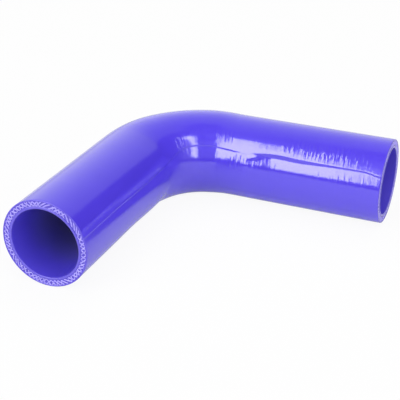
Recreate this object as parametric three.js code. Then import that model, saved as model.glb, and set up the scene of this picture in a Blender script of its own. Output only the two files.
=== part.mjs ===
// A radiator hose: a moulded 90 degree elbow of silicone rubber over wrapped plies of woven cloth.
//
// Millimetres, +Z up. The hose lies flat, with both legs level. The near leg runs along Y and its
// cut end faces -Y. The far leg's cut end faces +X. The origin is at the bottom centre of the box
// around the hose, on the surface that it lies on.
//
// The wall is revolved from one closed profile and then bent along the elbow's centreline. A place
// in the wall has three numbers: its station (the distance along the centreline from the near cut
// end), its radius, and its angle (from the inner side of the bend, up over the top).

import * as THREE from 'three';
import { mergeVertices } from 'three/addons/utils/BufferGeometryUtils.js';

const degrees = THREE.MathUtils.degToRad;

// The hose: bore, wall and centreline.
const BORE_RADIUS = 19;
const WALL = 5;
const NEAR_LEG = 95;
const FAR_LEG = 95;
const BEND_RADIUS = 45;
const BEND_ANGLE = degrees(90);

// The bend is a little fuller than the legs, because the plies lie thicker there.
const BEND_SWELL = 0.6;
const SWELL_RUN_OUT = 14;

// The outermost ply ends in a lap along the whole hose: a low step with a rounded edge, and behind
// it a surface that falls back to the round.
const LAP_STEP = 0.5;
const LAP_EDGE_WIDTH = 0.7;
const LAP_FALL_ANGLE = degrees(52);

// The lap's course, as places along the hose (0 to 1 on the near leg, 1 to 2 round the bend and
// 2 to 3 on the far leg) and the lap's angle there, in degrees.
const LAP_COURSE = [
  [0, 19.5],
  [0.3, 19.5],
  [0.72, 17.7],
  [0.95, 19],
  [1.6, 32],
  [1.9, 31.5],
  [2.2, 29.5],
  [2.33, 32],
  [2.65, 30],
  [3, 26.7],
];

// The cut ends, from the bore outwards: a plain liner, the plies and a thin skin. The plies' cut
// threads lie a little below the cut face, in rows of tufts.
const EDGE_BREAK = 0.3;
const LINER = 1.2;
const SKIN = 0.7;
const PLY_ROWS = 4;
const PLY_RECESS = 0.14;
const TUFT_DEPTH = 0.26;

// Facets round the hose, along each leg and round the bend. Two columns make one tuft.
const COLUMNS = 90;
const LEG_STEPS = 7;
const BEND_STEPS = 14;

const OUTER_RADIUS = BORE_RADIUS + WALL;
const BEND_LENGTH = BEND_RADIUS * BEND_ANGLE;
const BEND_START = NEAR_LEG;
const BEND_END = NEAR_LEG + BEND_LENGTH;
const HOSE_LENGTH = BEND_END + FAR_LEG;

const silicone = new THREE.MeshStandardMaterial({
  name: 'silicone_rubber',
  color: 0x5240dc,
  roughness: 0.25,
  metalness: 0,
});

/** Stations from start to end in even steps, without the end itself. */
function evenStations(start, end, steps) {
  return Array.from({ length: steps }, (_, step) => start + ((end - start) * step) / steps);
}

/** The stations of the rings along the skin, from one broken edge to the other. */
function skinStations() {
  return [
    ...evenStations(EDGE_BREAK, BEND_START, LEG_STEPS),
    ...evenStations(BEND_START, BEND_END, BEND_STEPS),
    ...evenStations(BEND_END, HOSE_LENGTH - EDGE_BREAK, LEG_STEPS),
    HOSE_LENGTH - EDGE_BREAK,
  ];
}

/** The stations of the rings along the bore. Its legs are straight, so they need no rings. */
function boreStations() {
  return [
    EDGE_BREAK,
    ...evenStations(BEND_START, BEND_END, BEND_STEPS),
    BEND_END,
    HOSE_LENGTH - EDGE_BREAK,
  ];
}

/** The rings of a cut face from the skin to the bore. Those of the plies are marked as threads. */
function cutFace() {
  const plyOuter = OUTER_RADIUS - SKIN;
  const plyInner = BORE_RADIUS + LINER;
  const lip = (plyOuter - plyInner) / (4 * PLY_ROWS);
  const rows = Array.from({ length: PLY_ROWS + 1 }, (_, row) => ({
    radius: THREE.MathUtils.lerp(plyOuter - lip, plyInner + lip, row / PLY_ROWS),
    depth: PLY_RECESS,
    threads: true,
  }));
  return [
    { radius: OUTER_RADIUS - EDGE_BREAK, depth: 0, threads: false },
    { radius: plyOuter, depth: 0, threads: false },
    ...rows,
    { radius: plyInner, depth: 0, threads: false },
    { radius: BORE_RADIUS + EDGE_BREAK, depth: 0, threads: false },
  ];
}

/** The wall's closed profile, in the order that turns its faces out: a radius and a station for
 * each ring, and the way into the wall
 * where the ring is one of cut threads. */
function wallProfile() {
  const face = cutFace();
  const rings = [
    ...skinStations().map((station) => ({ radius: OUTER_RADIUS, station, inward: 0 })),
    ...face.map(({ radius, depth, threads }) => (
      { radius, station: HOSE_LENGTH - depth, inward: threads ? -1 : 0 })),
    ...boreStations().reverse().map((station) => ({ radius: BORE_RADIUS, station, inward: 0 })),
    ...face.reverse().map(({ radius, depth, threads }) => (
      { radius, station: depth, inward: threads ? 1 : 0 })),
  ];
  return [...rings, rings[0]].reverse();
}

/** The lap's angle at a station. */
function lapAngle(station) {
  let place = station / NEAR_LEG;
  if (station > BEND_END) {
    place = 2 + (station - BEND_END) / FAR_LEG;
  } else if (station > BEND_START) {
    place = 1 + (station - BEND_START) / BEND_LENGTH;
  }
  const next = Math.max(1, LAP_COURSE.findIndex(([at]) => at >= Math.min(place, 3)));
  const [from, before] = LAP_COURSE[next - 1];
  const [to, after] = LAP_COURSE[next];
  return degrees(THREE.MathUtils.lerp(before, after, THREE.MathUtils.smoothstep(place, from, to)));
}

/** How much fuller the outside is at a station than on the legs. */
function swell(station) {
  const { smoothstep } = THREE.MathUtils;
  const rise = smoothstep(station, BEND_START - SWELL_RUN_OUT / 2, BEND_START + SWELL_RUN_OUT);
  const fall = smoothstep(station, BEND_END - SWELL_RUN_OUT, BEND_END + SWELL_RUN_OUT / 2);
  return BEND_SWELL * (rise - fall);
}

/** The angle past the lap's edge of a column. The last column is drawn in to make the step. */
function columnAngle(column) {
  return column === COLUMNS - 1 ? -LAP_EDGE_WIDTH / OUTER_RADIUS : (2 * Math.PI * column) / COLUMNS;
}

/** How far the lapped ply stands above the round, at an angle past the lap's edge. */
function lapHeight(angle) {
  return angle < 0 ? 0 : LAP_STEP * (1 - THREE.MathUtils.smoothstep(angle, 0, LAP_FALL_ANGLE));
}

/** The centreline's point at a station, and its level direction away from the bend's centre. */
function centreline(station) {
  const turn = THREE.MathUtils.clamp((station - BEND_START) / BEND_RADIUS, 0, BEND_ANGLE);
  const outward = new THREE.Vector3(-Math.cos(turn), Math.sin(turn), 0);
  const along = new THREE.Vector3(Math.sin(turn), Math.cos(turn), 0);
  const straight = Math.min(0, station - BEND_START) + Math.max(0, station - BEND_END);
  const point = outward.clone().multiplyScalar(BEND_RADIUS).addScaledVector(along, straight);
  return { point, outward };
}

/** How much deeper a cut thread lies than its ply: every other one does, which leaves tufts. */
function tuftDepth(ring, column) {
  return (ring + column) % 2 === 0 ? TUFT_DEPTH : 0;
}

/** The place of a point of the revolved wall on the bent hose. */
function wallPoint(radius, station, column) {
  const share = (radius - BORE_RADIUS) / WALL;
  const past = columnAngle(column);
  const angle = lapAngle(station) + past;
  const extra = share * (swell(station) + lapHeight(past));
  const { point, outward } = centreline(station);
  return point
    .addScaledVector(outward, -(radius + extra) * Math.cos(angle))
    .setZ(OUTER_RADIUS + share * swell(station) + (radius + extra) * Math.sin(angle));
}

/** The hose's wall: the revolved profile, with its tufts, bent to the elbow. */
function hoseWall() {
  const profile = wallProfile();
  const outline = profile.map(({ radius, station }) => new THREE.Vector2(radius, station));
  const geometry = new THREE.LatheGeometry(outline, COLUMNS);
  const { position } = geometry.attributes;
  for (let index = 0; index < position.count; index += 1) {
    const column = Math.floor(index / profile.length) % COLUMNS;
    const ring = index % profile.length;
    const { radius, station, inward } = profile[ring];
    const deeper = inward * tuftDepth(ring, column);
    position.setXYZ(index, ...wallPoint(radius, station + deeper, column));
  }
  geometry.deleteAttribute('normal');
  geometry.deleteAttribute('uv');
  const wall = mergeVertices(geometry, 1e-4);
  wall.computeBoundingBox();
  const centre = wall.boundingBox.getCenter(new THREE.Vector3());
  wall.translate(-centre.x, -centre.y, -wall.boundingBox.min.z);
  return wall;
}

const hose = new THREE.Mesh(hoseWall(), silicone);
hose.name = 'hose';

const part = new THREE.Group();
part.add(hose);

export default part;
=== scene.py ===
"""A moulded radiator hose: glossy silicone rubber over woven plies, with both ends cut square.

Metres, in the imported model's frame. A place in the wall has three numbers, as in the part's
source: its station (the distance along the centreline from the near cut end), its radius, and
its angle (from the inner side of the bend, up over the top).
"""

import logging
import math
from dataclasses import dataclass, fields
from enum import Enum
from itertools import pairwise
from typing import Protocol
import bpy
from mathutils import Matrix, Vector


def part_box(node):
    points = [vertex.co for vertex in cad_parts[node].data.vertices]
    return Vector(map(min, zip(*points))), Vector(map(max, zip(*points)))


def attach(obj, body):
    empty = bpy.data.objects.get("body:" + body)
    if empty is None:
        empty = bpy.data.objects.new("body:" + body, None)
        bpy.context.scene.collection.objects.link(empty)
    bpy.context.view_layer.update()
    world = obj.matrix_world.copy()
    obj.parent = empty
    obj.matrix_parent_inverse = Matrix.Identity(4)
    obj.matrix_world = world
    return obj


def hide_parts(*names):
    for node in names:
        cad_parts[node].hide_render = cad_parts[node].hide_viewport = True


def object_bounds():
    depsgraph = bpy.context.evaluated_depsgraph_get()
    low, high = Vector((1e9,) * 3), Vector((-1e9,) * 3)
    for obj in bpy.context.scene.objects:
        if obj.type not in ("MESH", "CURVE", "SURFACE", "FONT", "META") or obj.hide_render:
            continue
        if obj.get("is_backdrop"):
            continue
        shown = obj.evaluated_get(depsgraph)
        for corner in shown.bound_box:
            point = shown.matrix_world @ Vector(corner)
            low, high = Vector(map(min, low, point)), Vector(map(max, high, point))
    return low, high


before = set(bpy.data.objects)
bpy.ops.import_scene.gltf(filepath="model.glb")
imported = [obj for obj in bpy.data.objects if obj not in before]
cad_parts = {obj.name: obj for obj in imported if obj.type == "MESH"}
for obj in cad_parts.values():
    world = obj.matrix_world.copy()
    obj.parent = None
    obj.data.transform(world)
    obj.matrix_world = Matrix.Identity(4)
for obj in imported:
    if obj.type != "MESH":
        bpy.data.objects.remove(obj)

LOG = logging.getLogger("radiator_hose")

MM = 0.001
TAU = math.tau

BODY = "root"
NODE = "hose"


def srgb(red: int, green: int, blue: int) -> tuple[float, float, float, float]:
    """A colour as it is read from a picture, from 0 to 255, as linear light."""
    def linear(level: int) -> float:
        """One channel as linear light."""
        share = level / 255
        return share / 12.92 if share <= 0.04045 else ((share + 0.055) / 1.055) ** 2.4
    return linear(red), linear(green), linear(blue), 1.0


class Field:
    """One output of a node tree, on which sums are written as expressions."""

    def __init__(self, tree: "Tree", socket: bpy.types.NodeSocket) -> None:
        """Keeps the tree and the socket."""
        self.tree = tree
        self.socket = socket

    def math(self, operation: str, *others: "Field | float") -> "Field":
        """A Math node on this value and the others."""
        return self.tree.math(operation, self, *others)

    def __add__(self, other: "Field | float") -> "Field":
        """This plus the other."""
        return self.math("ADD", other)

    def __radd__(self, other: float) -> "Field":
        """The other plus this."""
        return self.math("ADD", other)

    def __sub__(self, other: "Field | float") -> "Field":
        """This less the other."""
        return self.math("SUBTRACT", other)

    def __rsub__(self, other: float) -> "Field":
        """The other less this."""
        return self.tree.math("SUBTRACT", other, self)

    def __mul__(self, other: "Field | float") -> "Field":
        """This times the other."""
        return self.math("MULTIPLY", other)

    def __rmul__(self, other: float) -> "Field":
        """The other times this."""
        return self.math("MULTIPLY", other)

    def __truediv__(self, other: "Field | float") -> "Field":
        """This over the other."""
        return self.math("DIVIDE", other)

    def smoothstep(self, low: "Field | float", high: "Field | float") -> "Field":
        """0 up to low, 1 from high on, and a smooth rise between.

        Args:
            low: where the rise starts.
            high: where the rise ends.

        Returns:
            The rise, from 0 to 1.
        """
        settings = {"interpolation_type": "SMOOTHSTEP"}
        return self.tree.read("ShaderNodeMapRange", settings, {0: self, 1: low, 2: high})

    def bump(self, middle: "Field | float", half_width: "Field | float") -> "Field":
        """1 at the middle, falling smoothly to 0 at half the width on either side."""
        away = (self - middle).math("ABSOLUTE")
        return 1 - away.smoothstep(0, half_width)


class Tree:
    """Writes one node tree: each node from its type, its settings and its sockets' values."""

    def __init__(self, nodes: bpy.types.NodeTree) -> None:
        """Keeps the tree that is written."""
        self.nodes = nodes

    def add(self, kind: str, settings: dict | None = None, inputs: dict | None = None) -> bpy.types.Node:
        """Adds one node.

        Args:
            kind: the node's type.
            settings: its properties, which are set first.
            inputs: values or fields for its sockets, by name or number.

        Returns:
            The node.
        """
        node = self.nodes.nodes.new(kind)
        for name, value in (settings or {}).items():
            setattr(node, name, value)
        for key, value in (inputs or {}).items():
            if isinstance(value, Field):
                self.nodes.links.new(value.socket, node.inputs[key])
            else:
                node.inputs[key].default_value = value
        return node

    def read(self, kind: str, settings: dict | None = None, inputs: dict | None = None,
             output: int | str = 0) -> Field:
        """Adds one node and returns one of its outputs.

        Args:
            kind: the node's type.
            settings: its properties.
            inputs: values or fields for its sockets.
            output: the output's name or number.

        Returns:
            The output.
        """
        return Field(self, self.add(kind, settings, inputs).outputs[output])

    def math(self, operation: str, *values: Field | float) -> Field:
        """A Math node on one to three values."""
        return self.read("ShaderNodeMath", {"operation": operation}, dict(enumerate(values)))

    def vector(self, x: Field | float, y: Field | float, z: Field | float) -> Field:
        """A vector of three values."""
        return self.read("ShaderNodeCombineXYZ", inputs={0: x, 1: y, 2: z})

    def parts(self, vector: Field) -> tuple[Field, Field, Field]:
        """The three values of a vector."""
        node = self.add("ShaderNodeSeparateXYZ", inputs={0: vector})
        return Field(self, node.outputs[0]), Field(self, node.outputs[1]), Field(self, node.outputs[2])

    def noise(self, place: Field, detail: float = 0, seed: float = 0) -> Field:
        """Smooth noise about zero, one swell a unit.

        Args:
            place: the point, in swells.
            detail: how many finer octaves it has.
            seed: which of many like noises it is.

        Returns:
            The noise, from about -1 to 1.
        """
        raw = self.read("ShaderNodeTexNoise", {"noise_dimensions": "4D"},
                        {"Vector": place, "W": seed, "Scale": 1.0, "Detail": detail})
        return (raw - 0.5) * 3

    def mix(self, share: Field | float, first: Field | tuple, second: Field | tuple) -> Field:
        """A colour between two."""
        return self.read("ShaderNodeMix", {"data_type": "RGBA"}, {0: share, 6: first, 7: second}, 2)


class Shape(Tree):
    """A Geometry Nodes tree that makes one piece."""

    def __init__(self, name: str) -> None:
        """Starts an empty tree.

        Args:
            name: the piece's name.
        """
        super().__init__(bpy.data.node_groups.new(name, "GeometryNodeTree"))
        self.name = name
        self.entry = self.add("NodeGroupInput")
        self.values: dict[str, float] = {}

    def size(self, name: str, value: float) -> Field:
        """A named input of the tree, and the value that this piece gives it."""
        item = self.nodes.interface.new_socket(name, in_out="INPUT", socket_type="NodeSocketFloat")
        self.values[item.identifier] = value
        return Field(self, self.entry.outputs[name])

    def join(self, parts: list[Field]) -> Field:
        """Several geometries as one."""
        joined = self.add("GeometryNodeJoinGeometry")
        for part in parts:
            self.nodes.links.new(part.socket, joined.inputs[0])
        return Field(self, joined.outputs[0])

    def keep(self, geometry: Field, name: str, value: Field | float, kind: str = "FLOAT",
             domain: str = "POINT") -> Field:
        """Stores a value on the mesh, for the materials or a later step to read.

        Args:
            geometry: the mesh.
            name: the attribute's name.
            value: what is stored.
            kind: the attribute's type.
            domain: what it is stored on.

        Returns:
            The mesh with the attribute.
        """
        return self.read("GeometryNodeStoreNamedAttribute", {"data_type": kind, "domain": domain},
                         {"Geometry": geometry, "Name": name, "Value": value})

    def make(self, geometry: Field) -> bpy.types.Object:
        """Runs the tree once and keeps its result as a plain mesh.

        Args:
            geometry: what the tree gives out.

        Returns:
            The piece's object, at the origin and with no modifier.
        """
        self.nodes.interface.new_socket("Mesh", in_out="OUTPUT", socket_type="NodeSocketGeometry")
        self.add("NodeGroupOutput", inputs={0: geometry})
        piece = bpy.data.objects.new(self.name, bpy.data.meshes.new(self.name))
        bpy.context.collection.objects.link(piece)
        modifier = piece.modifiers.new(self.name, "NODES")
        modifier.node_group = self.nodes
        for identifier, value in self.values.items():
            modifier[identifier] = value
        depsgraph = bpy.context.evaluated_depsgraph_get()
        mesh = bpy.data.meshes.new_from_object(piece.evaluated_get(depsgraph), depsgraph=depsgraph,
                                               preserve_all_data_layers=True)
        piece.modifiers.remove(modifier)
        piece.data = mesh
        return piece


def empty_material(name: str) -> tuple[bpy.types.Material, Tree]:
    """A material with no nodes, and the tree to write it in.

    Args:
        name: the material's name.

    Returns:
        The material and its tree.
    """
    material = bpy.data.materials.new(name)
    material.use_nodes = True
    material.node_tree.nodes.clear()
    return material, Tree(material.node_tree)


class Zone(Enum):
    """The stretches of the wall's surface, each with a finish of its own."""

    SKIN = 0
    CUT = 1
    BORE = 2


class Profile(Protocol):
    """The section of one sheet of the wall."""

    def __call__(self, along: Field) -> tuple[Field, Field]:
        """The radius and the station for a share of the way along the sheet."""


@dataclass(frozen=True)
class HoseSizes:
    """The hose's sizes, as in the part's source, the sizes of its relief, and the place of its bend."""

    centre_x: float
    centre_y: float
    bore_radius: float = 19 * MM
    wall: float = 5 * MM
    near_leg: float = 95 * MM
    far_leg: float = 95 * MM
    bend_radius: float = 45 * MM
    bend_angle: float = math.radians(90)
    bend_swell: float = 0.6 * MM
    inner_swell: float = 0.8 * MM
    swell_run_out: float = 14 * MM
    lap_step: float = 0.5 * MM
    lap_edge_width: float = 1.2 * MM
    lap_fall_angle: float = math.radians(52)
    edge_round: float = 0.4 * MM
    liner: float = 1.2 * MM
    skin: float = 0.7 * MM
    ply_recess: float = 0.28 * MM
    lap_groove: float = 0.36 * MM
    sag_height: float = 1.3 * MM
    selvage_height: float = 0.04 * MM

    @classmethod
    def of_frame(cls) -> "HoseSizes":
        """The sizes with the bend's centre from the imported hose: both cut ends bound its box."""
        low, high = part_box(NODE)
        return cls(centre_x=high.x - cls.far_leg, centre_y=low.y + cls.near_leg)

    @property
    def outer_radius(self) -> float:
        """The radius of the legs' outside."""
        return self.bore_radius + self.wall

    @property
    def length(self) -> float:
        """The centreline's length."""
        return self.near_leg + self.bend_radius * self.bend_angle + self.far_leg


# The lap's course: places along the hose (0 to 1 on the near leg, 1 to 2 round the bend and
# 2 to 3 on the far leg) and the lap's angle there, in degrees.
LAP_COURSE = [
    (0, 19.5), (0.3, 19.5), (0.72, 17.7), (0.95, 19), (1.6, 32.5),
    (1.9, 32.5), (2.15, 30.8), (2.38, 35), (2.55, 33.8), (2.88, 33), (3, 29.5),
]


@dataclass(frozen=True)
class Waves:
    """One kind of unevenness in the skin: its swells across and along the hose, and their height."""

    across: float
    along: float
    height: float


class Elbow:
    """The bent wall in one tree: where a station, a radius and an angle past the lap come to lie."""

    # The fuller inner side, where the near leg runs into the bend: how far from the leg's end it
    # rises and falls, the direction that it faces, and the cosine off that direction at its edge.
    CROWDED_RISE = (-38 * MM, -5 * MM)
    CROWDED_FALL = (4 * MM, 56 * MM)
    CROWDED_DIRECTION = math.radians(-42)
    CROWDED_EDGE = 0.3
    # The bend's underside is flat where the sine of the angle is below this.
    FLAT_BELOW = -0.96

    # The lap's edge: its least width as a share, and where it is wide.
    SHARP_SHARE = 0.4
    EDGE_WIDENS = (60 * MM, 100 * MM)
    EDGE_WIDEST = 208 * MM
    WIDEST_REACH = 45 * MM
    WIDEST_GAIN = 2.4

    # The lap's step and the groove at its foot, near the mouth.
    STEP_AT_MOUTH = 0.15
    STEP_RISE = (40 * MM, 95 * MM)
    GROOVE_SHARPENS = (25 * MM, 70 * MM)
    GROOVE_ENDS = (60 * MM, 110 * MM)
    GROOVE_REACH = 0.3
    GROOVE_FOOT = 0.05

    # The ply beside the lap, as places past the bend: it rises, drops down a ramp that starts
    # later beside the lap, and comes most of the way back.
    SAG_RISE = -6 * MM
    SAG_DROP = 15.5 * MM
    SAG_END = 31 * MM
    SAG_RETURN = 40 * MM
    SAG_LATER = 8 * MM
    SAG_BESIDE = 0.2
    SAG_CREST = 0.15
    SAG_RETURNED = 0.85
    SAG_FROM, SAG_TO = 1.5, 0.45

    # The bead along the lapped ply's edge.
    SELVAGE_START = 34 * MM
    SELVAGE_RUN_IN = 5 * MM
    SELVAGE_WIDTH = math.radians(16)

    UNEVENNESS = (
        Waves(34 * MM, 42 * MM, 0.06 * MM),
        Waves(30 * MM, 6 * MM, 0.02 * MM),
        Waves(16 * MM, 2.6 * MM, 0.006 * MM),
    )

    def __init__(self, shape: Shape, sizes: HoseSizes) -> None:
        """Gives the tree a named input for each size.

        Args:
            shape: the tree.
            sizes: the hose's sizes.
        """
        self.shape = shape
        for item in fields(sizes):
            value = shape.size(item.name.replace("_", " "), getattr(sizes, item.name))
            setattr(self, item.name, value)

        self.outer_radius = self.bore_radius + self.wall
        self.bend_length = self.bend_radius * self.bend_angle
        self.bend_end = self.near_leg + self.bend_length
        self.length = self.bend_end + self.far_leg

    def lap_angle(self, station: Field) -> Field:
        """The lap's angle at a station, along its course.

        Args:
            station: the distance from the near cut end.

        Returns:
            The angle, in radians.
        """
        place = (station / self.near_leg).math("MINIMUM", 1)
        place += ((station - self.near_leg) / self.bend_length).math("MAXIMUM", 0).math("MINIMUM", 1)
        place += ((station - self.bend_end) / self.far_leg).math("MAXIMUM", 0)
        angle = place * 0 + math.radians(LAP_COURSE[0][1])
        for (start, before), (end, after) in pairwise(LAP_COURSE):
            if after != before:
                angle += place.smoothstep(start, end) * math.radians(after - before)
        return angle

    def swell(self, station: Field, angle: Field) -> Field:
        """How much fuller the outside is round the bend than on the legs, apart from where it lies.

        Args:
            station: the distance from the near cut end.
            angle: the angle round the hose.

        Returns:
            The height above the even skin.
        """
        run_out = self.swell_run_out
        round_bend = station.smoothstep(self.near_leg, self.near_leg + 1.5 * run_out)
        round_bend -= station.smoothstep(self.bend_end - run_out, self.bend_end + run_out / 2)
        from_leg = station - self.near_leg
        crowded = from_leg.smoothstep(*self.CROWDED_RISE) - from_leg.smoothstep(*self.CROWDED_FALL)
        facing = (angle - self.CROWDED_DIRECTION).math("COSINE").smoothstep(self.CROWDED_EDGE, 1)
        fuller = self.bend_swell * round_bend + self.inner_swell * crowded * facing
        return fuller * angle.math("SINE").smoothstep(-1, self.FLAT_BELOW)

    def lap_edge(self, station: Field) -> Field:
        """The angle that the lap's edge takes up: it is sharper along the near leg.

        Args:
            station: the distance from the near cut end.

        Returns:
            The angle, in radians.
        """
        wide = station.smoothstep(*self.EDGE_WIDENS)
        wide += self.WIDEST_GAIN * station.bump(self.EDGE_WIDEST, self.WIDEST_REACH)
        width = self.lap_edge_width * (self.SHARP_SHARE + (1 - self.SHARP_SHARE) * wide)
        return width / self.outer_radius

    def lap_height(self, station: Field, past: Field) -> Field:
        """How far the lapped ply stands above the round. On the near leg a groove runs at its foot.

        Args:
            station: the distance from the near cut end.
            past: the angle past the lap's edge.

        Returns:
            The height.
        """
        edge = past.smoothstep(-1 * self.lap_edge(station), 0)
        share = self.STEP_AT_MOUTH + (1 - self.STEP_AT_MOUTH) * station.smoothstep(*self.STEP_RISE)
        step = self.lap_step * share
        sharp = station.smoothstep(*self.GROOVE_SHARPENS)
        foot = past.smoothstep(TAU - self.GROOVE_REACH, TAU - self.GROOVE_FOOT) + 1
        foot -= sharp * edge + (1 - sharp) * past.smoothstep(0, self.GROOVE_REACH)
        groove = self.lap_groove * (1 - station.smoothstep(*self.GROOVE_ENDS)) * foot
        return step * (edge - past.smoothstep(0, self.lap_fall_angle)) - groove

    def unbent(self, radius: Field, station: Field, angle: Field) -> Field:
        """The place on the straight hose, with the station as its height."""
        return self.shape.vector(radius * angle.math("COSINE"), radius * angle.math("SINE"), station)

    def sag(self, station: Field, past: Field) -> Field:
        """How the ply beside the lap rises and sags past the bend, which breaks the gloss there.

        Args:
            station: the distance from the near cut end.
            past: the angle past the lap's edge.

        Returns:
            The height above the even skin.
        """
        edge = self.lap_edge(station)
        under = 1 - past.smoothstep(-1 * edge, 0)
        beside = past.smoothstep(TAU - self.SAG_BESIDE, TAU - edge) + under
        below = past.smoothstep(TAU - self.SAG_FROM, TAU - self.SAG_TO) + under
        from_bend = station - self.bend_end
        start = self.SAG_DROP + self.SAG_LATER * beside
        fallen = ((from_bend - start) / (self.SAG_END - start)).math("MAXIMUM", 0).math("MINIMUM", 1)
        course = self.SAG_CREST * from_bend.smoothstep(self.SAG_RISE, self.SAG_DROP) - fallen
        course += self.SAG_RETURNED * from_bend.smoothstep(self.SAG_END, self.SAG_END + self.SAG_RETURN)
        return self.sag_height * course * below

    def selvage(self, station: Field, past: Field) -> Field:
        """The bead along the lapped ply's edge, which is thick only on the outer part of the far leg.

        Args:
            station: the distance from the near cut end.
            past: the angle past the lap's edge.

        Returns:
            The bead's height.
        """
        start = self.bend_end + self.SELVAGE_START
        across = past.smoothstep(-1 * self.lap_edge(station), 0)
        across -= past.smoothstep(0, self.SELVAGE_WIDTH)
        return self.selvage_height * station.smoothstep(start, start + self.SELVAGE_RUN_IN) * across

    def relief(self, station: Field, angle: Field) -> Field:
        """The skin's slow unevenness: low waves and wrinkles across the hose.

        Args:
            station: the distance from the near cut end.
            angle: the angle round the hose.

        Returns:
            The height above the even skin.
        """
        x, y = self.outer_radius * angle.math("COSINE"), self.outer_radius * angle.math("SINE")
        height = station * 0
        for seed, waves in enumerate(self.UNEVENNESS, start=1):
            place = self.shape.vector(x / waves.across, y / waves.across, station / waves.along)
            height += self.shape.noise(place, seed=seed) * waves.height
        return height

    def place(self, radius: Field, station: Field, past: Field) -> tuple[Field, Field]:
        """The place of a point of the wall.

        Args:
            radius: its radius in the even wall.
            station: its distance from the near cut end.
            past: its angle past the lap's edge.

        Returns:
            Its place on the bent hose, and its place on the straight one.
        """
        share = (radius - self.bore_radius) / self.wall
        angle = self.lap_angle(station) + past
        swell = self.swell(station, angle)
        lap = self.lap_height(station, past) + self.selvage(station, past) + self.sag(station, past)
        extra = share * (swell + lap + self.relief(station, angle))
        far = radius + extra
        turn = ((station - self.near_leg) / self.bend_radius).math("MAXIMUM", 0)
        turn = turn.math("MINIMUM", self.bend_angle)
        sine, cosine = turn.math("SINE"), turn.math("COSINE")
        straight = (station - self.near_leg).math("MINIMUM", 0)
        straight += (station - self.bend_end).math("MAXIMUM", 0)
        reach = self.bend_radius - far * angle.math("COSINE")
        bent = self.shape.vector(
            self.centre_x - cosine * reach + sine * straight,
            self.centre_y + sine * reach + cosine * straight,
            self.outer_radius + far * angle.math("SINE"),
        )
        return bent, self.unbent(radius, station, angle)


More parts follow.
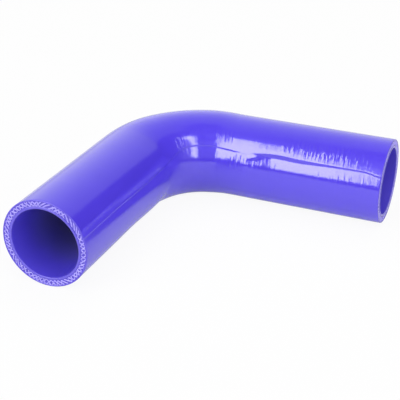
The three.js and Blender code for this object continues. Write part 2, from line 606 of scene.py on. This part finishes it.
@dataclass(frozen=True)
class HoseWall:
    """The hose's wall: skin, both cut faces and bore, as one closed mesh.

    The grid's columns run round the hose from the lap's edge. The first few of them make the edge.
    """

    sizes: HoseSizes
    columns: int = 180
    edge_columns: int = 8
    skin_rings: int = 400
    face_rings: int = 40
    bore_rings: int = 50
    ply_lip: float = 0.25 * MM
    weld_distance: float = 1e-6

    def sheet(self, elbow: Elbow, rings: int, zone: Zone, profile: Profile, inside_out: bool) -> Field:
        """One sheet of the surface, all the way round the hose.

        Args:
            elbow: the bent wall.
            rings: how many rows of faces it has.
            zone: the stretch of surface that it is.
            profile: gives the radius and the station for a share of the way along the sheet.
            inside_out: whether its faces have to be turned.

        Returns:
            The sheet.
        """
        shape = elbow.shape
        grid = shape.add("GeometryNodeMeshGrid", inputs={
            "Size X": 1.0, "Size Y": 1.0, "Vertices X": self.columns + 1, "Vertices Y": rings + 1})
        around, along, _ = shape.parts(Field(shape, grid.outputs["UV Map"]))
        share = self.edge_columns / self.columns
        radius, station = profile(along)
        edge = elbow.lap_edge(station)
        past = edge * ((around / share).math("MINIMUM", 1) - 1)
        past += (TAU - edge) * ((around - share) / (1 - share)).math("MAXIMUM", 0)
        bent, unbent = elbow.place(radius, station, past)
        mesh = shape.keep(Field(shape, grid.outputs["Mesh"]), "unbent", unbent, "FLOAT_VECTOR")
        mesh = shape.keep(mesh, "zone", float(zone.value), domain="FACE")
        mesh = shape.read("GeometryNodeSetPosition", inputs={"Geometry": mesh, "Position": bent})
        return shape.read("GeometryNodeFlipFaces", inputs={0: mesh}) if inside_out else mesh

    def face_profile(self, elbow: Elbow, along: Field) -> tuple[Field, Field]:
        """A cut face from bore to skin: round edges, and the plies lying a little deeper.

        Args:
            elbow: the bent wall.
            along: the share of the way from bore to skin, evenly in rings.

        Returns:
            The radius, and the depth below the cut.
        """
        across = (0.5 - 0.5 * (along * math.pi).math("COSINE")) * elbow.wall
        to_edge = across.math("MINIMUM", elbow.wall - across)
        rounding = (elbow.edge_round - to_edge).math("MAXIMUM", 0)
        corner = elbow.edge_round * elbow.edge_round - rounding * rounding
        depth = elbow.edge_round - corner.math("MAXIMUM", 0).math("SQRT")
        inner, outer = elbow.liner, elbow.wall - elbow.skin
        plies = across.smoothstep(inner, inner + self.ply_lip)
        plies -= across.smoothstep(outer - self.ply_lip, outer)
        return elbow.bore_radius + across, depth + plies * elbow.ply_recess

    def build(self, finishes: dict[Zone, bpy.types.Material]) -> bpy.types.Object:
        """Makes the wall and gives each zone its finish.

        Args:
            finishes: the material of each zone.

        Returns:
            The wall's object.
        """
        shape = Shape("hose_wall")
        elbow = Elbow(shape, self.sizes)
        reach = elbow.length - 2 * elbow.edge_round

        def skin(along: Field) -> tuple[Field, Field]:
            """The skin, from one round edge to the other."""
            return elbow.outer_radius + along * 0, elbow.edge_round + along * reach

        def bore(along: Field) -> tuple[Field, Field]:
            """The bore, from one round edge to the other."""
            return elbow.bore_radius + along * 0, elbow.edge_round + along * reach

        def near_face(along: Field) -> tuple[Field, Field]:
            """The near cut face."""
            return self.face_profile(elbow, along)

        def far_face(along: Field) -> tuple[Field, Field]:
            """The far cut face."""
            radius, depth = self.face_profile(elbow, along)
            return radius, elbow.length - depth

        mesh = shape.join([
            self.sheet(elbow, self.skin_rings, Zone.SKIN, skin, True),
            self.sheet(elbow, self.bore_rings, Zone.BORE, bore, False),
            self.sheet(elbow, self.face_rings, Zone.CUT, near_face, True),
            self.sheet(elbow, self.face_rings, Zone.CUT, far_face, False),
        ])
        mesh = shape.read("GeometryNodeMergeByDistance", inputs={
            "Geometry": mesh, "Distance": self.weld_distance})
        mesh = shape.read("GeometryNodeSetShadeSmooth", inputs={0: mesh})
        mesh = shape.read("GeometryNodeRealizeInstances", inputs={0: mesh})
        kept = shape.read("GeometryNodeInputNamedAttribute", {"data_type": "FLOAT"}, {"Name": "zone"})
        for zone in Zone:
            chosen = kept.math("COMPARE", zone.value, 0.5)
            mesh = shape.read("GeometryNodeSetMaterial", inputs={
                "Geometry": mesh, "Selection": chosen, "Material": finishes[zone]})
        return shape.make(mesh)


@dataclass(frozen=True)
class Drift:
    """Slow noise round an end face: its pace, how far apart the two coils' are, and its height."""

    pace: float
    apart: float
    height: float


@dataclass(frozen=True)
class PlyThreads:
    """The plies' cut yarn in one end face: two coils of strokes that lean opposite ways and cross.

    A stroke swings across the plies' width and runs round the face by its skew. The coils' strokes
    drift together and apart, and where one coil sinks, the other's strokes show alone.
    """

    sizes: HoseSizes
    name: str
    far_end: bool
    seed: float
    coils: int = 57
    steps_a_coil: int = 14
    sides: int = 8
    thickness: float = 0.8 * MM
    swing: float = 1.34 * MM
    skew: float = 1.1 * MM
    cross: float = 0.65 * MM
    dip: float = 0.5 * MM
    sink: float = 0.4 * MM
    middle_share: float = 0.56
    sinks_from: float = 0.3
    shared_drift: Drift = Drift(2.4, 0, 2.0)
    own_drift: Drift = Drift(3.2, 9.1, 1.9)
    middle_drift: Drift = Drift(5.0, 5.3, 0.12 * MM)
    run_drift: Drift = Drift(1.7, 0, 1.0)

    def build(self, finish: bpy.types.Material) -> bpy.types.Object:
        """Makes the threads of the end face.

        Args:
            finish: the threads' material.

        Returns:
            The piece's object.
        """
        shape = Shape(self.name)
        elbow = Elbow(shape, self.sizes)
        thickness = shape.size("thread thickness", self.thickness)
        swing = shape.size("thread swing", self.swing)
        dip = shape.size("thread dip", self.dip)
        sink = shape.size("thread sink", self.sink)
        skew = shape.size("thread skew", self.skew)
        cross = shape.size("thread cross", self.cross)
        ring = shape.read("GeometryNodeCurvePrimitiveCircle", {"mode": "RADIUS"}, {
            "Resolution": self.coils * self.steps_a_coil, "Radius": 1.0})
        copies = shape.add("GeometryNodeDuplicateElements", {"domain": "SPLINE"}, {
            "Geometry": ring, "Amount": 2})
        index = Field(shape, copies.outputs["Duplicate Index"])
        lean = index * 2 - 1
        turn = shape.read("GeometryNodeSplineParameter", output="Factor") * TAU

        def drift(kind: Drift, offset: float) -> Field:
            """Noise that runs round the end face, alike for both coils or each coil's own."""
            x, y = turn.math("COSINE") * kind.pace, turn.math("SINE") * kind.pace
            place = shape.vector(x, y, index * kind.apart)
            return shape.noise(place, seed=self.seed + offset) * kind.height

        wave = turn * self.coils + drift(self.shared_drift, 0) + drift(self.own_drift, 1)
        width = elbow.wall - elbow.liner - elbow.skin
        middle = elbow.bore_radius + elbow.liner + width * self.middle_share
        middle += drift(self.middle_drift, 2)
        run = drift(self.run_drift, 3)
        radius = middle + lean * swing * wave.math("SINE")
        past = turn + (run * skew * lean + cross) * wave.math("SINE") / middle
        under = (0 - lean * run).smoothstep(self.sinks_from, 1)
        depth = thickness / 2 + dip * (0.5 - 0.5 * wave.math("COSINE")) + sink * under
        station = elbow.length - depth if self.far_end else depth
        bent, _ = elbow.place(radius, station, past)
        strands = shape.read("GeometryNodeSetPosition", inputs={
            "Geometry": Field(shape, copies.outputs["Geometry"]), "Position": bent})
        section = shape.read("GeometryNodeCurvePrimitiveCircle", {"mode": "RADIUS"}, {
            "Resolution": self.sides, "Radius": thickness / 2})
        mesh = shape.read("GeometryNodeCurveToMesh", inputs={
            "Curve": strands, "Profile Curve": section, "Fill Caps": False})
        mesh = shape.read("GeometryNodeSetShadeSmooth", inputs={0: mesh})
        mesh = shape.read("GeometryNodeRealizeInstances", inputs={0: mesh})
        mesh = shape.read("GeometryNodeSetMaterial", inputs={"Geometry": mesh, "Material": finish})
        return shape.make(mesh)


@dataclass(frozen=True)
class Finish:
    """What all the hose's finishes have in common."""

    name: str
    colour: tuple[float, float, float, float]
    roughness: float

    def unbent(self, tree: Tree) -> tuple[Field, Field, Field]:
        """The place on the straight hose: two coordinates across it, and the station."""
        kept = tree.read("ShaderNodeAttribute", {"attribute_name": "unbent"}, output="Vector")
        return tree.parts(kept)

    def grain(self, place: tuple[Field, Field, Field], across: float, along: float,
              detail: float, seed: float) -> Field:
        """Noise in the finish, with swells of one length across and another along.

        Args:
            place: two coordinates across, and one along.
            across: the swells' length across.
            along: their length along.
            detail: how many finer octaves it has.
            seed: which of many like noises it is.

        Returns:
            The noise, from about -1 to 1.
        """
        x, y, z = place
        tree = x.tree
        return tree.noise(tree.vector(x / across, y / across, z / along), detail, seed)

    def dress(self, tree: Tree, colour: Field, roughness: Field | float, height: Field,
              ior: float = 1.5) -> None:
        """Closes the material with its surface.

        Args:
            tree: the material's tree.
            colour: the surface's colour.
            roughness: its roughness.
            height: its fine relief, in metres.
            ior: its index of refraction, which sets how strong its gloss is.
        """
        normal = tree.read("ShaderNodeBump", inputs={"Strength": 1.0, "Distance": 1.0, "Height": height})
        surface = tree.read("ShaderNodeBsdfPrincipled", inputs={
            "Base Color": colour, "Roughness": roughness, "IOR": ior, "Normal": normal})
        tree.add("ShaderNodeOutputMaterial", inputs={"Surface": surface})


@dataclass(frozen=True)
class Patch:
    """A stretch of the skin that the cure tape wrinkled more: its middle, its reach and how much.

    The angle and the half width round the hose are in degrees.
    """

    station: float
    angle: float
    half_length: float
    half_width: float
    amount: float


@dataclass(frozen=True)
class GlossySkin(Finish):
    """The moulded outside: smooth and glossy, with the grooves and wrinkles that the cure tape left."""

    shade: tuple[float, float, float, float] = srgb(66, 50, 205)
    ior: float = 1.8
    line_pitch: float = 0.75 * MM
    line_height: float = 0.003 * MM
    grain_height: float = 0.0004 * MM
    tape_pitch: float = 5.25 * MM
    tape_start: float = 0.85
    tape_warp: float = 0.06
    tape_groove: float = 0.1
    groove_depth: float = 0.04 * MM
    wrinkle_pitch: float = 1.5 * MM
    wrinkle_height: float = 0.2 * MM
    evenly: float = 0.1
    patches: tuple[Patch, ...] = (
        Patch(228 * MM, 48, 34 * MM, 16, 1.0),
        Patch(232 * MM, 14, 30 * MM, 10, 0.35),
        Patch(178 * MM, 16, 16 * MM, 15, 1.5),
        Patch(196 * MM, 18, 7 * MM, 14, 0.8),
        Patch(166 * MM, 47, 9 * MM, 17, 1.8),
        Patch(124 * MM, 36, 10 * MM, 24, 0.9),
    )

    def wrinkled(self, station: Field, angle: Field) -> Field:
        """How much the cure tape wrinkled the skin at a place.

        Args:
            station: the distance from the near cut end.
            angle: the angle round the hose.

        Returns:
            The share of the full relief.
        """
        amount = station * 0 + self.evenly
        for patch in self.patches:
            middle, half_width = math.radians(patch.angle), math.radians(patch.half_width)
            along = station.bump(patch.station, patch.half_length)
            amount += along * angle.bump(middle, half_width) * patch.amount
        return amount

    def build(self) -> bpy.types.Material:
        """Writes the material.

        Returns:
            The material.
        """
        material, tree = empty_material(self.name)
        x, y, station = place = self.unbent(tree)
        angle = y.math("ARCTAN2", x)
        broad = self.grain(place, 14 * MM, 18 * MM, 2, 1)
        lines = self.grain(place, 9 * MM, self.line_pitch, 1, 2)
        grain = self.grain(place, 0.5 * MM, 0.5 * MM, 1, 3)
        shaded = (0.16 + 0.14 * broad + 0.05 * lines).math("MAXIMUM", 0)
        rough = self.roughness + 0.02 * broad + 0.02 * lines

        warp = self.grain(place, 9 * MM, 9 * MM, 0, 8)
        turn = station / self.tape_pitch + angle / TAU + self.tape_warp * warp + self.tape_start
        groove = turn.math("FRACT").bump(0.5, self.tape_groove) * (0.8 + 0.5 * warp).math("MAXIMUM", 0)
        slanted = x, y, station + angle * MM
        wrinkle = self.grain(slanted, 7 * MM, self.wrinkle_pitch, 1, 9).smoothstep(-0.3, 1)
        tape = wrinkle * self.wrinkle_height - groove * self.groove_depth
        height = lines * self.line_height + grain * self.grain_height
        height += self.wrinkled(station, angle) * tape
        self.dress(tree, tree.mix(shaded, self.colour, self.shade), rough, height, self.ior)
        return material


@dataclass(frozen=True)
class CutRubber(Finish):
    """The knife-cut end faces: paler and matte. The plies' rubber between the threads and the skin ring
    are darker: partly their own tone, partly painted shade in the threads' recess and along the outer
    edge.
    """

    # Darker rubber: the plies' own tone with painted shade for the recess between the threads, and the
    # skin ring's own tone with painted shade along the outer edge.
    ply_colour: tuple[float, float, float, float] = srgb(88, 75, 200)
    skin_and_shade_colour: tuple[float, float, float, float] = srgb(96, 82, 212)
    ply_inner: float = 20.2 * MM
    ply_outer: float = 23.3 * MM
    blur: float = 0.1 * MM
    grain_height: float = 0.02 * MM

    def build(self) -> bpy.types.Material:
        """Writes the material.

        Returns:
            The material.
        """
        material, tree = empty_material(self.name)
        x, y, _ = place = self.unbent(tree)
        radius = (x * x + y * y).math("SQRT")
        in_plies = radius.smoothstep(self.ply_inner - self.blur, self.ply_inner + self.blur)
        in_skin = radius.smoothstep(self.ply_outer - self.blur, self.ply_outer + self.blur)
        # Partly painted shade: the plies' band and the skin ring are given darker colours.
        colour = tree.mix(in_plies, self.colour, self.ply_colour)
        colour = tree.mix(in_skin, colour, self.skin_and_shade_colour)
        height = self.grain(place, 0.6 * MM, 0.6 * MM, 2, 4) * self.grain_height
        self.dress(tree, colour, self.roughness, height)
        return material


@dataclass(frozen=True)
class BoreRubber(Finish):
    """The inside that the mandrel left: even and satin. Deeper in, its colour turns grey: painted sheen
    that stands in for the haze of reflected light inside the bore.
    """

    length: float
    # Painted sheen: the grey that the colour turns to deeper in, in place of reflected haze, and the
    # distances from the nearer end over which it turns.
    painted_haze_colour: tuple[float, float, float, float] = srgb(148, 148, 166)
    dulls: tuple[float, float] = (8 * MM, 60 * MM)
    streak_height: float = 0.005 * MM

    def build(self) -> bpy.types.Material:
        """Writes the material.

        Returns:
            The material.
        """
        material, tree = empty_material(self.name)
        place = self.unbent(tree)
        streak = self.grain(place, 1.5 * MM, 40 * MM, 1, 5)
        inside = place[2].math("MINIMUM", self.length - place[2])
        # Painted sheen: the colour greys deeper in, standing in for reflected haze.
        colour = tree.mix(inside.smoothstep(*self.dulls), self.colour, self.painted_haze_colour)
        self.dress(tree, colour, self.roughness + 0.05 * streak, streak * self.streak_height)
        return material


@dataclass(frozen=True)
class CutThread(Finish):
    """The plies' yarn: pale, matte and a little uneven."""

    shade: tuple[float, float, float, float] = srgb(126, 114, 226)
    fibre_height: float = 0.02 * MM

    def build(self) -> bpy.types.Material:
        """Writes the material.

        Returns:
            The material.
        """
        material, tree = empty_material(self.name)
        place = tree.parts(tree.read("ShaderNodeTexCoord", output="Object"))
        tufts = self.grain(place, 0.9 * MM, 0.9 * MM, 2, 6)
        fibres = self.grain(place, 0.12 * MM, 0.12 * MM, 1, 7)
        colour = tree.mix((0.4 + 0.5 * tufts).math("MAXIMUM", 0), self.colour, self.shade)
        self.dress(tree, colour, self.roughness, fibres * self.fibre_height)
        return material


def direction(azimuth: float, elevation: float) -> Vector:
    """The direction at an azimuth and an elevation, in degrees.

    Args:
        azimuth: the angle from +X towards +Y.
        elevation: the angle above level.

    Returns:
        The direction, of length 1.
    """
    across, rise = math.radians(azimuth), math.radians(elevation)
    level = math.cos(rise)
    return Vector((level * math.cos(across), level * math.sin(across), math.sin(rise)))


@dataclass(frozen=True)
class GlossPanel:
    """A glowing panel far from the hose, which shows only in its gloss.

    Its corners are azimuths and elevations, in degrees, as seen from the hose.
    """

    name: str
    corners: tuple[tuple[float, float], ...]
    radiance: float
    distance: float = 3.0

    def build(self, target: Vector) -> None:
        """Sets up the panel.

        Args:
            target: the point that it surrounds.
        """
        points = [target + direction(*corner) * self.distance for corner in self.corners]
        mesh = bpy.data.meshes.new(self.name)
        mesh.from_pydata(points, [], [tuple(range(len(points)))])
        material, tree = empty_material(self.name)
        glow = tree.read("ShaderNodeEmission", inputs={"Strength": self.radiance})
        tree.add("ShaderNodeOutputMaterial", inputs={"Surface": glow})
        mesh.materials.append(material)
        panel = bpy.data.objects.new(self.name, mesh)
        bpy.context.collection.objects.link(panel)
        panel.visible_camera = False
        panel.visible_diffuse = False
        panel.visible_transmission = False
        panel.visible_shadow = False
        panel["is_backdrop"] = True


@dataclass(frozen=True)
class SoftBox:
    """A flat lamp that faces the hose from far away and lights its colour, but not its gloss."""

    name: str
    azimuth: float
    elevation: float
    width: float
    height: float
    radiance: float
    distance: float = 3.0

    def build(self, target: Vector) -> None:
        """Sets up the lamp.

        Args:
            target: the point that it faces.
        """
        data = bpy.data.lights.new(self.name, "AREA")
        data.shape = "RECTANGLE"
        data.size, data.size_y = self.width, self.height
        data.energy = self.radiance * 4 * self.width * self.height
        lamp = bpy.data.objects.new(self.name, data)
        bpy.context.collection.objects.link(lamp)
        away = direction(self.azimuth, self.elevation)
        lamp.location = target + away * self.distance
        lamp.rotation_euler = away.to_track_quat("Z", "Y").to_euler()
        lamp.visible_camera = False
        lamp.visible_glossy = False


class Studio:
    """The pale floor, the soft lamps, the white surroundings and the camera."""

    # The floor, and how white it is to the eye and in the hose's gloss. In gloss it ends in front.
    FLOOR_SIZE = 8.0
    FLOOR_FRONT = 0.35
    FLOOR_FADE = 0.1
    SEEN_WHITENESS = 0.93
    GLOSS_WHITENESS = 0.35

    # What the gloss shows all round: a backdrop that is brightest in one direction and ends at a
    # slanting side, and a dim room behind the camera. The rest is the fill on plain colour.
    BACKDROP = (119, 9)
    BACKDROP_SIDE = Vector((0.917, -0.332, -0.222))
    BACKDROP_LEVEL = 0.22
    BACKDROP_GLOW = 1.05
    BACKDROP_FOCUS = 3.2
    ROOM_LEVEL = 0.38
    CEILING_SHADE = 0.8
    FILL_LEVEL = 0.22

    # The camera, in degrees and millimetres.
    CAMERA_PLACE = Vector((172.0, -437.06, 258.91)) * MM
    CAMERA_YAW = 22.49
    CAMERA_PITCH = 26.75
    CAMERA_ROLL = 0.55
    CAMERA_LENS = 86.96
    SENSOR = 36.0

    LAMPS = [
        SoftBox("left_light", -117, 31, 2.3, 3.2, 2.15),
        SoftBox("right_light", -31, 35, 2.1, 3.4, 1.75),
        SoftBox("overhead_light", 90, 75, 3.0, 3.0, 1.25),
    ]
    PANELS = [
        GlossPanel("left_panel", (
            (-99, 6.5), (-99, 30), (-102.5, 36), (-105.4, 42), (-108.2, 50), (-110, 54), (-116.6, 54),
            (-118.5, 57), (-123, 61), (-131, 65), (-150, 65), (-150, 8), (-111, 2), (-107, 4.5)), 6.0),
        GlossPanel("right_panel", (
            (-51, 5), (-50, 35), (-43, 50), (-36, 65), (-21, 67), (-3, 62),
            (-5, 56), (-17, 56), (-32, 43), (-33, 12)), 6.0),
    ]

    def camera(self) -> None:
        """Sets up the camera where the photo's view of the cut ends and the legs puts it."""
        yaw, roll = math.radians(self.CAMERA_YAW), math.radians(self.CAMERA_ROLL)
        tilt = math.radians(90 - self.CAMERA_PITCH)
        turn = (Matrix.Rotation(yaw, 4, "Z") @ Matrix.Rotation(tilt, 4, "X")
                @ Matrix.Rotation(roll, 4, "Z"))
        data = bpy.data.cameras.new("camera")
        data.lens, data.sensor_width = self.CAMERA_LENS, self.SENSOR
        data.clip_start, data.clip_end = 0.01, 100.0
        camera = bpy.data.objects.new("camera", data)
        bpy.context.collection.objects.link(camera)
        camera.matrix_world = Matrix.Translation(self.CAMERA_PLACE) @ turn
        bpy.context.scene.camera = camera

    def floor(self, height: float) -> None:
        """Lays the floor: white to the eye and in gloss, and still showing the hose's soft shadow.

        Args:
            height: the surface that the hose lies on.
        """
        half = self.FLOOR_SIZE / 2
        mesh = bpy.data.meshes.new("floor")
        corners = [(x * half, y * half, height) for x, y in ((-1, -1), (1, -1), (1, 1), (-1, 1))]
        mesh.from_pydata(corners, [], [(0, 1, 2, 3)])
        floor = bpy.data.objects.new("floor", mesh)
        bpy.context.collection.objects.link(floor)
        material, tree = empty_material("floor_white")
        rays = tree.add("ShaderNodeLightPath")
        seen = Field(tree, rays.outputs["Is Camera Ray"])
        gloss = Field(tree, rays.outputs["Is Glossy Ray"])
        _, back, _ = tree.parts(tree.read("ShaderNodeTexCoord", output="Object"))
        beyond = gloss * (0 - back).smoothstep(self.FLOOR_FRONT - self.FLOOR_FADE, self.FLOOR_FRONT)
        share = (seen * self.SEEN_WHITENESS).math("MAXIMUM", gloss * self.GLOSS_WHITENESS)
        paper = tree.read("ShaderNodeBsdfDiffuse", inputs={"Color": srgb(232, 232, 232)})
        white = tree.read("ShaderNodeEmission", inputs={"Color": (1, 1, 1, 1), "Strength": 1.0})
        dark = tree.read("ShaderNodeBsdfDiffuse", inputs={"Color": (0, 0, 0, 1)})
        surface = tree.read("ShaderNodeMixShader", inputs={0: share, 1: paper, 2: white})
        surface = tree.read("ShaderNodeMixShader", inputs={0: beyond, 1: surface, 2: dark})
        tree.add("ShaderNodeOutputMaterial", inputs={"Surface": surface})
        mesh.materials.append(material)
        floor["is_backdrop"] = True

    def surroundings(self) -> None:
        """Sets the world: white to the eye, pale low down and dim overhead in gloss, and a soft fill."""
        world = bpy.data.worlds.new("studio")
        bpy.context.scene.world = world
        world.use_nodes = True
        world.node_tree.nodes.clear()
        world.cycles.sampling_method = "NONE"
        tree = Tree(world.node_tree)
        rays = tree.add("ShaderNodeLightPath")
        camera = Field(tree, rays.outputs["Is Camera Ray"])
        glossy = Field(tree, rays.outputs["Is Glossy Ray"])
        place = tree.read("ShaderNodeTexCoord", output="Generated")
        _, back, up = tree.parts(place)
        towards = tree.read("ShaderNodeVectorMath", {"operation": "DOT_PRODUCT"},
                            {0: place, 1: direction(*self.BACKDROP)}, "Value")
        side = tree.read("ShaderNodeVectorMath", {"operation": "DOT_PRODUCT"},
                         {0: place, 1: self.BACKDROP_SIDE}, "Value")
        inside = (1 - side.smoothstep(-0.03, 0.03)) * (1 - up.smoothstep(0.93, 0.98))
        glow = self.BACKDROP_GLOW * towards.math("MAXIMUM", 0).math("POWER", self.BACKDROP_FOCUS)
        backdrop = (self.BACKDROP_LEVEL + glow) * inside
        walls = up.smoothstep(0.03, 0.12) - self.CEILING_SHADE * up.smoothstep(0.7, 0.9)
        room = self.ROOM_LEVEL * (0 - back).smoothstep(-0.3, 0.2) * walls
        level = camera + (1 - camera) * (glossy * (backdrop + room) + (1 - glossy) * self.FILL_LEVEL)
        light = tree.read("ShaderNodeBackground", inputs={"Color": (1, 1, 1, 1), "Strength": level})
        tree.add("ShaderNodeOutputWorld", inputs={"Surface": light})

    def build(self, low: Vector, high: Vector) -> None:
        """Sets up everything round the hose.

        Args:
            low: the lowest corner of the hose's box.
            high: its highest corner.
        """
        self.camera()
        self.floor(low.z)
        for light in self.LAMPS + self.PANELS:
            light.build((low + high) / 2)
        self.surroundings()
        bpy.context.scene.view_settings.view_transform = "Standard"


class RadiatorHose:
    """The whole hose: its wall and the cut threads of both ends."""

    def __init__(self) -> None:
        """Reads the sizes and writes the finishes."""
        self.sizes = HoseSizes.of_frame()
        self.wall_finishes = {
            Zone.SKIN: GlossySkin("skin_rubber", srgb(84, 65, 224), 0.13).build(),
            Zone.CUT: CutRubber("cut_rubber", srgb(102, 90, 212), 0.18).build(),
            Zone.BORE: BoreRubber("bore_rubber", srgb(84, 70, 214), 0.4, self.sizes.length).build(),
        }
        self.thread_finish = CutThread("ply_thread", srgb(186, 176, 255), 0.3).build()

    def build(self) -> None:
        """Makes every piece, attaches it to the body that it rides on, and hides the imported hose."""
        wall = HoseWall(self.sizes).build(self.wall_finishes)
        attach(wall, BODY)
        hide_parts(NODE)
        report(wall)
        for kind in (PlyThreads(self.sizes, "near_ply_threads", False, 11.0),
                     PlyThreads(self.sizes, "far_ply_threads", True, 17.0)):
            threads = kind.build(self.thread_finish)
            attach(threads, BODY)
            report(threads)


def report(piece: bpy.types.Object) -> None:
    """Logs a piece's name and how many triangles it has."""
    triangles = sum(len(face.vertices) - 2 for face in piece.data.polygons)
    LOG.info("%s: %d triangles", piece.name, triangles)


def main() -> None:
    """Builds the hose, then the studio round it."""
    logging.basicConfig(level=logging.INFO, format="%(name)s: %(message)s")
    RadiatorHose().build()
    Studio().build(*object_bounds())


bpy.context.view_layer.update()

if __name__ == "__main__":
    main()
